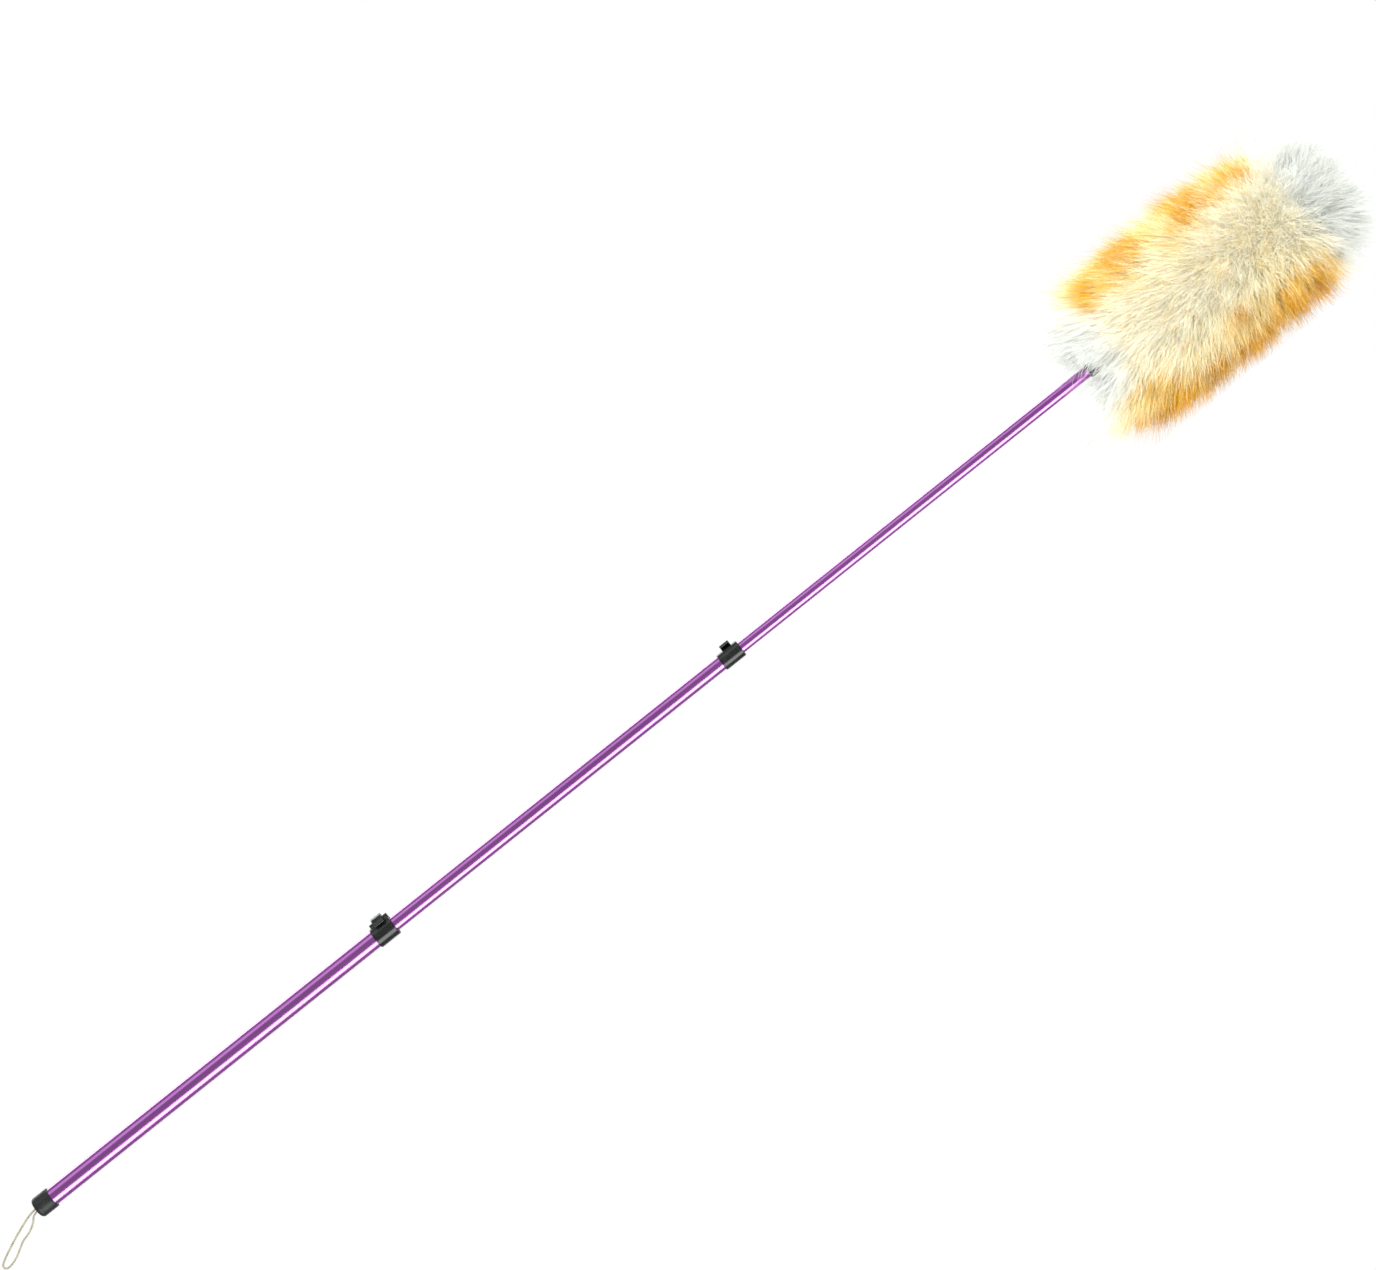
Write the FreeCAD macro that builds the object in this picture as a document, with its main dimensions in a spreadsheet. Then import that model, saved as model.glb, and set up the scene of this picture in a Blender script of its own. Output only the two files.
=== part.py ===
import FreeCAD, Part
import math
import os
from types import SimpleNamespace

import Sketcher
from FreeCAD import Rotation, Vector

# Wool duster on a telescopic pole of three sections, fully extended. +Z runs along the pole, from
# the handle to the wool head. The origin is the centre of the end cap's end face. -X is the side
# that the lower lock's lever stands on. Lengths are in millimetres and angles in degrees.

# Driving dimensions: name, value, meaning.
SHEET = (
    ("lower_outer", 17.0, "lower tube, outside diameter"),
    ("middle_outer", 14.0, "middle tube, outside diameter"),
    ("upper_outer", 11.0, "upper tube, outside diameter"),
    ("wall", 1.0, "wall of all three tubes"),
    ("running", 0.05, "radial clearance of everything that slides or turns"),
    ("cap_outer", 20.0, "end cap, outside diameter"),
    ("cap_length", 18.3, "end cap, length"),
    ("cap_floor", 4.0, "end cap, thickness of its end"),
    ("cap_round", 3.5, "end cap, rounding of its outer corner"),
    ("cap_hole", 2.3, "end cap, radius of the cord's hole"),
    ("cap_lip", 0.7, "end cap, chamfer of its open edge"),
    ("cord_radius", 1.0, "hanging cord, radius"),
    ("knot_radius", 3.2, "knot, radius"),
    ("knot_length", 5.3, "knot, length"),
    ("knot_round", 1.8, "knot, rounding"),
    ("bush_length", 12.7, "guide bushes, length"),
    ("bush_lead", 0.4, "guide bushes, chamfer of the bore's lead-in"),
    ("lower_bush_start", 386.3, "lower guide bush, lower face"),
    ("upper_bush_start", 791.0, "upper guide bush, lower face"),
    ("stop_gap", 0.3, "from an inner tube's end to the bush above it"),
    ("ring_length", 5.8, "glide rings, length"),
    ("ring_play", 0.1, "glide rings, play at each end"),
    ("ring_seat", 0.2, "how far a plug's neck is wider than its stem"),
    ("plug_stem", 12.0, "glide plugs, length inside the tube"),
    ("plug_flange", 2.5, "glide plugs, thickness of the flange"),
    ("plug_flange_gap", 0.3, "glide plugs, gap round the flange"),
    ("plug_wall", 2.0, "glide plugs, wall of the stem"),
    ("lower_collar_outer", 20.0, "lower lock collar, outside diameter"),
    ("lower_collar_start", 395.9, "lower lock collar, lower face"),
    ("lower_collar_length", 22.0, "lower lock collar, length"),
    ("lower_window_start", 6.7, "lower lock, window above the collar's lower face"),
    ("lower_window_length", 11.1, "lower lock, length of the window"),
    ("lower_lever_outer", 12.0, "lower lock lever, radius of its outer face"),
    ("lower_lever_reach", 5.5, "lower lock lever, from the pin to the outer face"),
    ("lower_turn", 0.0, "lower lock, turn about the pole"),
    ("upper_collar_outer", 16.4, "upper lock collar, outside diameter"),
    ("upper_collar_start", 800.1, "upper lock collar, lower face"),
    ("upper_collar_length", 22.8, "upper lock collar, length"),
    ("upper_window_start", 7.2, "upper lock, window above the collar's lower face"),
    ("upper_window_length", 10.2, "upper lock, length of the window"),
    ("upper_lever_outer", 11.6, "upper lock lever, radius of its outer face"),
    ("upper_lever_reach", 5.1, "upper lock lever, from the pin to the outer face"),
    ("upper_turn", -55.0, "upper lock, turn about the pole"),
    ("collar_round", 1.2, "collars, rounding of the outer edges"),
    ("tube_bridge", 1.5, "tube left beyond the window, inside the collar"),
    ("ear_length", 4.2, "ears, length along the pole"),
    ("ear_round", 2.1, "ears, radius round the pin"),
    ("ear_foot", 3.6, "ears, half width where they leave the collar"),
    ("ear_sink", 1.0, "ears, depth of their foot below the collar's surface"),
    ("pin_radius", 1.0, "hinge pins, radius"),
    ("pin_recess", 0.4, "hinge pins, depth of their ends in the ears"),
    ("pin_chamfer", 0.3, "hinge pins, chamfer of the ends"),
    ("window_half", 3.4, "windows, half width"),
    ("shoe_thick", 1.4, "lock shoes, thickness"),
    ("shoe_half", 3.2, "lock shoes, half width"),
    ("shoe_play", 0.2, "lock shoes, play along the pole at each end"),
    ("cam_radius", 2.3, "lever cams, radius"),
    ("cam_offset", 0.4, "lever cams, offset of the centre from the pin"),
    ("lever_play", 0.15, "levers, play along the pole at each end"),
    ("lever_thick", 2.6, "levers, thickness of the thumb plate"),
    ("lever_sweep", 70.0, "levers, angle of the thumb plate round its own centre"),
    ("lever_web_near", 0.8, "levers, the web's side away from the thumb plate"),
    ("lever_web_far", 2.0, "levers, the web's side towards the thumb plate"),
    ("lever_web_sink", 0.6, "levers, how far the web goes into the plate"),
    ("lever_tip_round", 1.0, "levers, rounding of the free end"),
    ("lever_edge_round", 0.6, "levers, rounding of the outer face's edges"),
    ("ferrule_start", 1228.0, "ferrule, lower face"),
    ("ferrule_small", 7.2, "ferrule, radius of the sleeve"),
    ("ferrule_sleeve", 5.0, "ferrule, length of the straight sleeve"),
    ("ferrule_large", 11.0, "ferrule, radius of the rim"),
    ("ferrule_rim", 18.2, "ferrule, height of the rim"),
    ("ferrule_length", 21.0, "ferrule, height with its domed end"),
    ("ferrule_flare", 30.0, "ferrule, radius of the hollow flare"),
    ("ferrule_dome", 22.0, "ferrule, radius of the domed end"),
    ("ferrule_dome_rise", 2.4, "ferrule, rise of the domed end up to the core"),
    ("ferrule_socket", 15.0, "ferrule, depth of the tube's socket"),
    ("core_stem_start", 1225.0, "head core, lower end inside the upper tube"),
    ("core_radius", 6.0, "head core, radius"),
    ("core_end", 1500.0, "head core, upper end"),
    ("core_round", 2.5, "head core, rounding of the upper end"),
    ("hide_start", 1250.0, "hide, lower edge"),
    ("hide_thick", 2.0, "hide, thickness round the core"),
    ("hide_end", 1508.0, "hide, upper end"),
    ("hide_round", 4.0, "hide, rounding of the upper end"),
    ("pile_start", 1204.0, "wool, lowest point of the hair"),
    ("pile_length", 320.0, "wool, length"),
    ("pile_radius", 80.0, "wool, radius"),
    ("pile_root", 48.0, "wool, height of the roots above its lowest point"),
    ("pile_lap", 4.0, "wool, drop of the hair just outside the roots"),
    ("pile_pinch", 14.0, "wool, radius of the pinch round the ferrule"),
    ("pile_throat", 30.0, "wool, radius where the hair turns out from the pinch"),
    ("pile_throat_rise", 16.0, "wool, height there above the lowest point"),
    ("pile_flat", 56.0, "wool, radius of the flat of the lower end"),
    ("pile_shoulder", 28.0, "wool, height of the lower shoulder"),
    ("pile_tip_drop", 52.0, "wool, from the upper shoulder to the tip"),
    ("pile_tip_flat", 44.0, "wool, radius where the tip's dome begins"),
    ("pile_tip_rise", 8.0, "wool, height of the tip's dome"),
    ("pile_lip_round", 40.0, "wool, rounding of the lower end round the pinch"),
    ("pile_shoulder_round", 28.0, "wool, rounding of the lower shoulder"),
    ("pile_tip_round", 44.0, "wool, rounding of the upper shoulder"),
)

ARC_SHARE = 0.45  # how much of the shorter run each arc of the cord takes
LEAST_CUT = 0.01  # cubic millimetres that a pocket must remove to count
CORD_SLACK = 0.01  # how far the cord's volume may be from section times length
SAME_PLACE = 0.001  # millimetres within which two places are the same

# The hanging cord's route: out of the cap, round the loop's far end and back in.
CORD_ROUTE = (
    (-1.10, 0.0, 4.0),
    (-1.00, 0.0, -4.5),
    (2.00, -0.6, -15.0),
    (6.40, -1.2, -26.5),
    (11.00, -1.6, -37.5),
    (15.90, -1.2, -48.0),
    (19.00, -0.5, -54.0),
    (21.60, 0.2, -57.3),
    (25.20, 0.8, -56.4),
    (26.00, 1.3, -52.3),
    (23.60, 1.8, -43.5),
    (19.00, 2.0, -35.6),
    (14.60, 1.6, -28.2),
    (12.60, 1.0, -19.0),
    (8.00, 0.5, -10.8),
    (1.25, 0.1, -4.9),
    (1.10, 0.0, 4.0),
)


class Size:
    """A number together with the sheet expression that gives it."""

    def __init__(self, value, text):
        self.value = value
        self.text = text

    def __add__(self, other):
        other = as_size(other)
        return Size(self.value + other.value, f"({self.text} + {other.text})")

    def __sub__(self, other):
        other = as_size(other)
        return Size(self.value - other.value, f"({self.text} - {other.text})")

    def __mul__(self, other):
        other = as_size(other)
        return Size(self.value * other.value, f"({self.text} * {other.text})")

    def __truediv__(self, other):
        other = as_size(other)
        return Size(self.value / other.value, f"({self.text} / {other.text})")

    def __neg__(self):
        return Size(-self.value, f"(0 - {self.text})")


def as_size(number):
    """The number itself if it is a Size already, or a Size of a plain number."""
    return number if isinstance(number, Size) else Size(float(number), str(float(number)))


def cosine(angle):
    return Size(math.cos(math.radians(angle.value)), f"cos({angle.text} * 1deg)")


def sine(angle):
    return Size(math.sin(math.radians(angle.value)), f"sin({angle.text} * 1deg)")


doc = FreeCAD.newDocument("WoolDuster")
sheet = doc.addObject("Spreadsheet::Sheet", "Sizes")
for row, (name, value, meaning) in enumerate(SHEET, start=1):
    sheet.set(f"A{row}", meaning)
    sheet.set(f"B{row}", str(value))
    sheet.setAlias(f"B{row}", name)
doc.recompute()
size = SimpleNamespace(**{name: Size(value, f"Sizes.{name}") for name, value, _ in SHEET})
sub_parts = []


# ---- how the pieces are drawn -----------------------------------------------------------------


def new_body(label, start=0.0, turn=0.0):
    """A body whose own frame starts at the height start and is turned about the pole."""
    body = doc.addObject("PartDesign::Body", label)
    body.Label = label
    body.Placement.Rotation = Rotation(Vector(0, 0, 1), as_size(turn).value)
    body.setExpression("Placement.Base.z", as_size(start).text)
    if as_size(turn).value:
        body.setExpression("Placement.Rotation.Angle", as_size(turn).text)
    sub_parts.append(body)
    return body


def new_sketch(body, plane, lift=0.0):
    """An empty sketch on one of the body's own planes, lifted along the plane's normal."""
    sketch = body.newObject("Sketcher::SketchObject", f"{body.Label}_sketch")
    face = next(found for found in body.Origin.OriginFeatures if found.Role == plane)
    sketch.AttachmentSupport = [(face, "")]
    sketch.MapMode = "FlatFace"
    sketch.setExpression("AttachmentOffset.Base.z", as_size(lift).text)
    return sketch


def bind(sketch, kind, *rest):
    """Adds a constraint whose last argument is a Size, and ties it to the sheet."""
    amount = rest[-1]
    index = sketch.addConstraint(Sketcher.Constraint(kind, *rest[:-1], amount.value))
    sketch.setExpression(f"Constraints[{index}]", amount.text)


def fix_point(sketch, geometry, point, x, y):
    """Ties one point of a piece of geometry to its place, measured from the sketch's origin."""
    x, y = as_size(x), as_size(y)
    if x.value:
        bind(sketch, "DistanceX", -1, 1, geometry, point, x)
    else:
        sketch.addConstraint(Sketcher.Constraint("PointOnObject", geometry, point, -2))
    if y.value:
        bind(sketch, "DistanceY", -1, 1, geometry, point, y)
    else:
        sketch.addConstraint(Sketcher.Constraint("PointOnObject", geometry, point, -1))


def draw_circle(sketch, radius, x=0.0, y=0.0):
    centre = Vector(as_size(x).value, as_size(y).value, 0)
    index = sketch.addGeometry(Part.Circle(centre, Vector(0, 0, 1), radius.value))
    fix_point(sketch, index, 3, x, y)
    bind(sketch, "Radius", index, radius)


def draw_arc(sketch, start, end, radius, side):
    """An arc with its centre on the left of start to end (side 1) or on the right (side -1)."""
    chord = end - start
    left = Vector(-chord.y, chord.x, 0).normalize()
    middle = (start + end) * 0.5
    centre = middle + left * side * math.sqrt(radius**2 - (chord.Length / 2) ** 2)
    first, last = (start, end) if side > 0 else (end, start)
    angles = [math.atan2(p.y - centre.y, p.x - centre.x) for p in (first, last)]
    circle = Part.Circle(centre, Vector(0, 0, 1), radius)
    index = sketch.addGeometry(Part.ArcOfCircle(circle, *angles))
    return (index, 1, 2) if side > 0 else (index, 2, 1)


def draw_outline(sketch, corners):
    """A closed outline. A corner is (x, y), or (x, y, radius, side) where an arc leads to it."""
    places = [Vector(as_size(c[0]).value, as_size(c[1]).value, 0) for c in corners]
    pieces = []
    for i, corner in enumerate(corners):
        start, end = places[i - 1], places[i]
        if len(corner) == 4:
            piece = draw_arc(sketch, start, end, as_size(corner[2]).value, corner[3])
        else:
            piece = (sketch.addGeometry(Part.LineSegment(start, end)), 1, 2)
        pieces.append(piece)
    for i, (index, first, last) in enumerate(pieces):
        before, _, before_last = pieces[i - 1]
        joint = Sketcher.Constraint("Coincident", before, before_last, index, first)
        sketch.addConstraint(joint)
        fix_point(sketch, index, last, *corners[i][:2])
        if len(corners[i]) == 4:
            bind(sketch, "Radius", index, as_size(corners[i][2]))


def add_turned(body, corners):
    """Turns a closed outline of (radius, height) corners about the pole's axis."""
    sketch = new_sketch(body, "XZ_Plane")
    draw_outline(sketch, corners)
    turned = body.newObject("PartDesign::Revolution", f"{body.Label}_turned")
    turned.Profile = sketch
    turned.ReferenceAxis = (sketch, ["V_Axis"])
    turned.Angle = 360
    doc.recompute()


def add_pad(body, sketch, length):
    pad = body.newObject("PartDesign::Pad", f"{body.Label}_pad")
    pad.Profile = sketch
    pad.setExpression("Length", length.text)
    doc.recompute()


def add_pocket(body, sketch, up=True):
    """Cuts the sketch through everything on one side of its plane, and makes sure that it cut."""
    before = body.Shape.Volume
    pocket = body.newObject("PartDesign::Pocket", f"{body.Label}_pocket")
    pocket.Profile = sketch
    pocket.Type = "ThroughAll"
    pocket.Reversed = up
    doc.recompute()
    if before - body.Shape.Volume < LEAST_CUT:
        raise RuntimeError(f"a pocket of {body.Label} cut nothing")


def add_fillet(body, radius, wanted):
    """Rounds the edges that the function wanted picks."""
    base = body.Tip
    edges = enumerate(base.Shape.Edges, start=1)
    names = [f"Edge{number}" for number, edge in edges if wanted(edge)]
    if not names:
        raise RuntimeError(f"no edge of {body.Label} to round")
    fillet = body.newObject("PartDesign::Fillet", f"{body.Label}_fillet")
    fillet.Base = (base, names)
    fillet.setExpression("Radius", radius.text)
    doc.recompute()


def is_upright_beyond(edge, x_low):
    """True for a straight edge along the pole at x_low or nearer to the pole."""
    box = edge.BoundBox
    return box.XLength + box.YLength < SAME_PLACE and box.XMin > x_low - SAME_PLACE


def is_arc_of(edge, radius):
    """True for a circular edge of this radius."""
    curve = edge.Curve
    return isinstance(curve, Part.Circle) and abs(curve.Radius - radius) < SAME_PLACE


def rectangle(x_low, x_high, y_low, y_high):
    return [(x_low, y_low), (x_high, y_low), (x_high, y_high), (x_low, y_high)]


def cut_window(body, start, length):
    """Cuts the lock shoe's window through the wall on the -X side."""
    sketch = new_sketch(body, "YZ_Plane")
    draw_outline(sketch, rectangle(-size.window_half, size.window_half, start, start + length))
    add_pocket(body, sketch, up=False)


# ---- the end cap and the hanging cord ---------------------------------------------------------


def make_end_cap():
    outer = size.cap_outer / 2
    inner = size.lower_outer / 2
    body = new_body("end_cap")
    add_turned(
        body,
        [
            (size.cap_hole, 0.0),
            (outer - size.cap_round, 0.0),
            (outer, size.cap_round, size.cap_round, 1),
            (outer, size.cap_length - size.cap_lip),
            (outer - size.cap_lip, size.cap_length),
            (inner, size.cap_length),
            (inner, size.cap_floor),
            (size.cap_hole, size.cap_floor),
        ],
    )


def make_knot():
    """The knot that keeps the cord's two ends inside the cap."""
    flat = size.knot_radius - size.knot_round
    body = new_body("loop_knot", size.cap_floor)
    add_turned(
        body,
        [
            (0.0, 0.0),
            (size.knot_radius, 0.0),
            (size.knot_radius, size.knot_length - size.knot_round),
            (flat, size.knot_length, size.knot_round, 1),
            (0.0, size.knot_length),
        ],
    )


def rounded_path(points):
    """A wire of straight runs joined by tangent arcs as large as the runs allow, and the radii."""
    edges = []
    radii = []
    start = points[0]
    for before, corner, after in zip(points, points[1:], points[2:]):
        back = (before - corner).normalize()
        ahead = (after - corner).normalize()
        half_turn = (math.pi - back.getAngle(ahead)) / 2
        reach = ARC_SHARE * min((before - corner).Length, (after - corner).Length)
        radius = reach / math.tan(half_turn)
        inward = (back + ahead).normalize()
        middle = corner + inward * radius * (1 / math.cos(half_turn) - 1)
        arc_start = corner + back * reach
        arc_end = corner + ahead * reach
        edges.append(Part.LineSegment(start, arc_start).toShape())
        edges.append(Part.Arc(arc_start, middle, arc_end).toShape())
        radii.append(radius)
        start = arc_end
    edges.append(Part.LineSegment(start, points[-1]).toShape())
    return Part.Wire(edges), radii


def make_cord():
    """The hanging cord, one plain tube along its route."""
    radius = sheet.cord_radius
    path, radii = rounded_path([Vector(*place) for place in CORD_ROUTE])
    first_run = path.Edges[0].tangentAt(path.Edges[0].FirstParameter)
    section = Part.Wire([Part.makeCircle(radius, Vector(*CORD_ROUTE[0]), first_run)])
    tube = path.makePipeShell([section], True, False)
    expected = math.pi * radius**2 * path.Length
    print("cord: length", round(path.Length, 1), "radii", [round(found, 1) for found in radii])
    print("cord: volume", round(tube.Volume, 1), "section times length", round(expected, 1))
    if abs(tube.Volume - expected) > CORD_SLACK * expected:
        raise RuntimeError("the cord's volume isn't its section times its length")
    cord = doc.addObject("Part::Feature", "hang_loop")
    cord.Label = "hang_loop"
    cord.Shape = tube
    cord.Placement = FreeCAD.Placement()
    sub_parts.append(cord)


# ---- tubes, guide bushes, glide plugs and rings -----------------------------------------------


def make_tube(label, outer, start, end, turn=0.0):
    body = new_body(label, start, turn)
    sketch = new_sketch(body, "XY_Plane")
    draw_circle(sketch, outer / 2)
    draw_circle(sketch, outer / 2 - size.wall)
    add_pad(body, sketch, end - start)
    return body


def make_locked_tube(label, start, lock):
    """A tube that ends inside a lock's collar, with a window for the lock's shoe."""
    body = make_tube(label, lock.outer_tube, start, lock.start + lock.tube_end, lock.turn)
    cut_window(body, lock.start + lock.window_start - start, lock.window_length)


def make_guide_bush(label, start, outer_tube, inner_tube):
    """A plain bush pressed in the outer tube, in which the inner tube runs."""
    outside = outer_tube / 2 - size.wall
    bore = inner_tube / 2 + size.running
    lead = bore + size.bush_lead
    body = new_body(label, start)
    add_turned(
        body,
        [
            (bore, 0.0),
            (outside, 0.0),
            (outside, size.bush_length),
            (lead, size.bush_length),
            (bore, size.bush_length - size.bush_lead),
        ],
    )


def make_glide(prefix, tube_end, outer_tube, inner_tube):
    """The plug in an inner tube's lower end, and the ring that runs on the plug's neck."""
    stem = inner_tube / 2 - size.wall
    neck = stem + size.ring_seat
    bore = stem - size.plug_wall
    flange = outer_tube / 2 - size.wall - size.plug_flange_gap
    seat = size.plug_flange + size.ring_length + size.ring_play * 2
    plug = new_body(f"{prefix}_glide_plug", tube_end - seat)
    add_turned(
        plug,
        [
            (bore, 0.0),
            (flange, 0.0),
            (flange, size.plug_flange),
            (neck, size.plug_flange),
            (neck, seat),
            (stem, seat),
            (stem, seat + size.plug_stem),
            (bore, seat + size.plug_stem),
        ],
    )
    inside = neck + size.running
    outside = outer_tube / 2 - size.wall - size.running
    ring = new_body(f"{prefix}_glide_ring", tube_end - size.ring_length - size.ring_play)
    height = size.ring_length
    add_turned(ring, rectangle(inside, outside, 0.0, height))


# ---- the two lever locks ----------------------------------------------------------------------


def lock_sizes(prefix, outer_tube, inner_tube):
    """The sizes of one lock, with the pin's distance from the pole's axis worked out."""
    found = SimpleNamespace(
        prefix=prefix,
        outer_tube=outer_tube,
        inner_tube=inner_tube,
        collar=getattr(size, f"{prefix}_collar_outer") / 2,
        start=getattr(size, f"{prefix}_collar_start"),
        length=getattr(size, f"{prefix}_collar_length"),
        window_start=getattr(size, f"{prefix}_window_start"),
        window_length=getattr(size, f"{prefix}_window_length"),
        lever_outer=getattr(size, f"{prefix}_lever_outer"),
        lever_reach=getattr(size, f"{prefix}_lever_reach"),
        turn=getattr(size, f"{prefix}_turn"),
    )
    found.tube_end = found.window_start + found.window_length + size.tube_bridge
    found.shoe_inner = inner_tube / 2 + size.running
    found.shoe_outer = found.shoe_inner + size.shoe_thick
    found.pin = found.shoe_outer + size.running + size.cam_radius + size.cam_offset
    return found


def make_collar(lock):
    tube = lock.outer_tube / 2
    lip = lock.inner_tube / 2 + size.running
    body = new_body(f"{lock.prefix}_lock_collar", lock.start, lock.turn)
    add_turned(
        body,
        [
            (tube, 0.0),
            (lock.collar - size.collar_round, 0.0),
            (lock.collar, size.collar_round, size.collar_round, 1),
            (lock.collar, lock.length - size.collar_round),
            (lock.collar - size.collar_round, lock.length, size.collar_round, 1),
            (lip, lock.length),
            (lip, lock.tube_end),
            (tube, lock.tube_end),
        ],
    )
    cut_window(body, lock.window_start, lock.window_length)
    foot = -(lock.collar - size.ear_sink)
    ear_starts = (lock.window_start - size.ear_length, lock.window_start + lock.window_length)
    for ear_start in ear_starts:
        stalk = new_sketch(body, "XY_Plane", ear_start)
        draw_outline(
            stalk,
            [
                (foot, size.ear_foot),
                (-lock.pin, size.ear_round),
                (-lock.pin, -size.ear_round),
                (foot, -size.ear_foot),
            ],
        )
        add_pad(body, stalk, size.ear_length)
        eye = new_sketch(body, "XY_Plane", ear_start)
        draw_circle(eye, size.ear_round, -lock.pin)
        add_pad(body, eye, size.ear_length)
    bore = new_sketch(body, "XY_Plane")
    draw_circle(bore, size.pin_radius, -lock.pin)
    add_pocket(body, bore)


def make_pin(lock):
    start = lock.window_start - size.ear_length + size.pin_recess
    length = lock.window_length + size.ear_length * 2 - size.pin_recess * 2
    body = new_body(f"{lock.prefix}_lock_pin", lock.start + start, lock.turn)
    sketch = new_sketch(body, "XY_Plane")
    draw_circle(sketch, size.pin_radius, -lock.pin)
    add_pad(body, sketch, length)
    pad = body.Tip
    ends = [f"Edge{n}" for n, edge in enumerate(pad.Shape.Edges, start=1) if edge.isClosed()]
    chamfer = body.newObject("PartDesign::Chamfer", f"{body.Label}_ends")
    chamfer.Base = (pad, ends)
    chamfer.setExpression("Size", size.pin_chamfer.text)
    doc.recompute()


def make_lever(lock):
    """The lever: a thumb plate that wraps over the collar, a web and a cam on the pin."""
    centre = lock.pin + lock.lever_reach - lock.lever_outer
    outer = lock.lever_outer
    inner = outer - size.lever_thick
    across, along = cosine(size.lever_sweep), sine(size.lever_sweep)
    height = lock.window_length - size.lever_play * 2
    start = lock.start + lock.window_start + size.lever_play
    body = new_body(f"{lock.prefix}_lock_lever", start, lock.turn)

    plate = new_sketch(body, "XY_Plane")
    draw_outline(
        plate,
        [
            (-(centre + outer), 0.0),
            (-(centre + outer * across), -(outer * along), outer, 1),
            (-(centre + inner * across), -(inner * along)),
            (-(centre + inner), 0.0, inner, -1),
        ],
    )
    add_pad(body, plate, height)
    tip = centre + outer * across
    add_fillet(body, size.lever_tip_round, lambda edge: is_upright_beyond(edge, -tip.value))
    add_fillet(body, size.lever_edge_round, lambda edge: is_arc_of(edge, outer.value))

    web = new_sketch(body, "XY_Plane")
    top = centre + inner + size.lever_web_sink
    draw_outline(web, rectangle(-top, -lock.pin, -size.lever_web_far, size.lever_web_near))
    add_pad(body, web, height)
    cam = new_sketch(body, "XY_Plane")
    draw_circle(cam, size.cam_radius, -(lock.pin - size.cam_offset))
    add_pad(body, cam, height)
    bore = new_sketch(body, "XY_Plane")
    draw_circle(bore, size.pin_radius + size.running, -lock.pin)
    add_pocket(body, bore)


def make_shoe(lock):
    """The pad between the cam and the inner tube, hollowed to the tube's curve."""
    start = lock.start + lock.window_start + size.shoe_play
    body = new_body(f"{lock.prefix}_lock_shoe", start, lock.turn)
    block = new_sketch(body, "XY_Plane")
    low, high = -lock.shoe_outer, -(lock.shoe_inner - size.shoe_thick)
    draw_outline(block, rectangle(low, high, -size.shoe_half, size.shoe_half))
    add_pad(body, block, lock.window_length - size.shoe_play * 2)
    hollow = new_sketch(body, "XY_Plane")
    draw_circle(hollow, lock.shoe_inner)
    add_pocket(body, hollow)


# ---- the head ---------------------------------------------------------------------------------


def make_ferrule():
    tube = size.upper_outer / 2
    core = tube - size.wall
    body = new_body("head_ferrule", size.ferrule_start)
    add_turned(
        body,
        [
            (tube, 0.0),
            (size.ferrule_small, 0.0),
            (size.ferrule_small, size.ferrule_sleeve),
            (size.ferrule_large, size.ferrule_rim, size.ferrule_flare, -1),
            (core, size.ferrule_rim + size.ferrule_dome_rise, size.ferrule_dome, 1),
            (core, size.ferrule_socket),
            (tube, size.ferrule_socket),
        ],
    )


def make_core():
    """The rod that the fleece is wound on, with a thinner stem in the upper tube."""
    stem = size.upper_outer / 2 - size.wall
    shoulder = size.ferrule_start + size.ferrule_length - size.core_stem_start
    end = size.core_end - size.core_stem_start
    body = new_body("head_core", size.core_stem_start)
    add_turned(
        body,
        [
            (0.0, 0.0),
            (stem, 0.0),
            (stem, shoulder),
            (size.core_radius, shoulder),
            (size.core_radius, end - size.core_round),
            (size.core_radius - size.core_round, end, size.core_round, 1),
            (0.0, end),
        ],
    )


def make_hide():
    """The leather side of the fleece, a closed sleeve over the core."""
    outer = size.core_radius + size.hide_thick
    end = size.hide_end - size.hide_start
    inner_end = size.core_end - size.hide_start
    body = new_body("wool_hide", size.hide_start)
    add_turned(
        body,
        [
            (size.core_radius, 0.0),
            (outer, 0.0),
            (outer, end - size.hide_round),
            (outer - size.hide_round, end, size.hide_round, 1),
            (0.0, end),
            (0.0, inner_end),
            (size.core_radius, inner_end),
        ],
    )


def make_pile():
    """The wool: a plain closed solid of the hair's outer shape, pinched in round the ferrule."""
    hide = size.core_radius + size.hide_thick
    hide_end = size.hide_end - size.pile_start
    flat, rise = size.pile_tip_flat, size.pile_tip_rise
    dome = (flat * flat + rise * rise) / (rise * 2)
    body = new_body("wool_pile", size.pile_start)
    add_turned(
        body,
        [
            (hide, size.pile_root),
            (size.pile_pinch, size.pile_root - size.pile_lap),
            (size.pile_throat, size.pile_throat_rise, size.pile_lip_round, 1),
            (size.pile_flat, 0.0, size.pile_lip_round, 1),
            (size.pile_radius, size.pile_shoulder, size.pile_shoulder_round, 1),
            (size.pile_radius, size.pile_length - size.pile_tip_drop),
            (flat, size.pile_length - rise, size.pile_tip_round, 1),
            (0.0, size.pile_length, dome, 1),
            (0.0, hide_end),
            (hide, hide_end),
        ],
    )


# ---- the whole duster -------------------------------------------------------------------------


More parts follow.
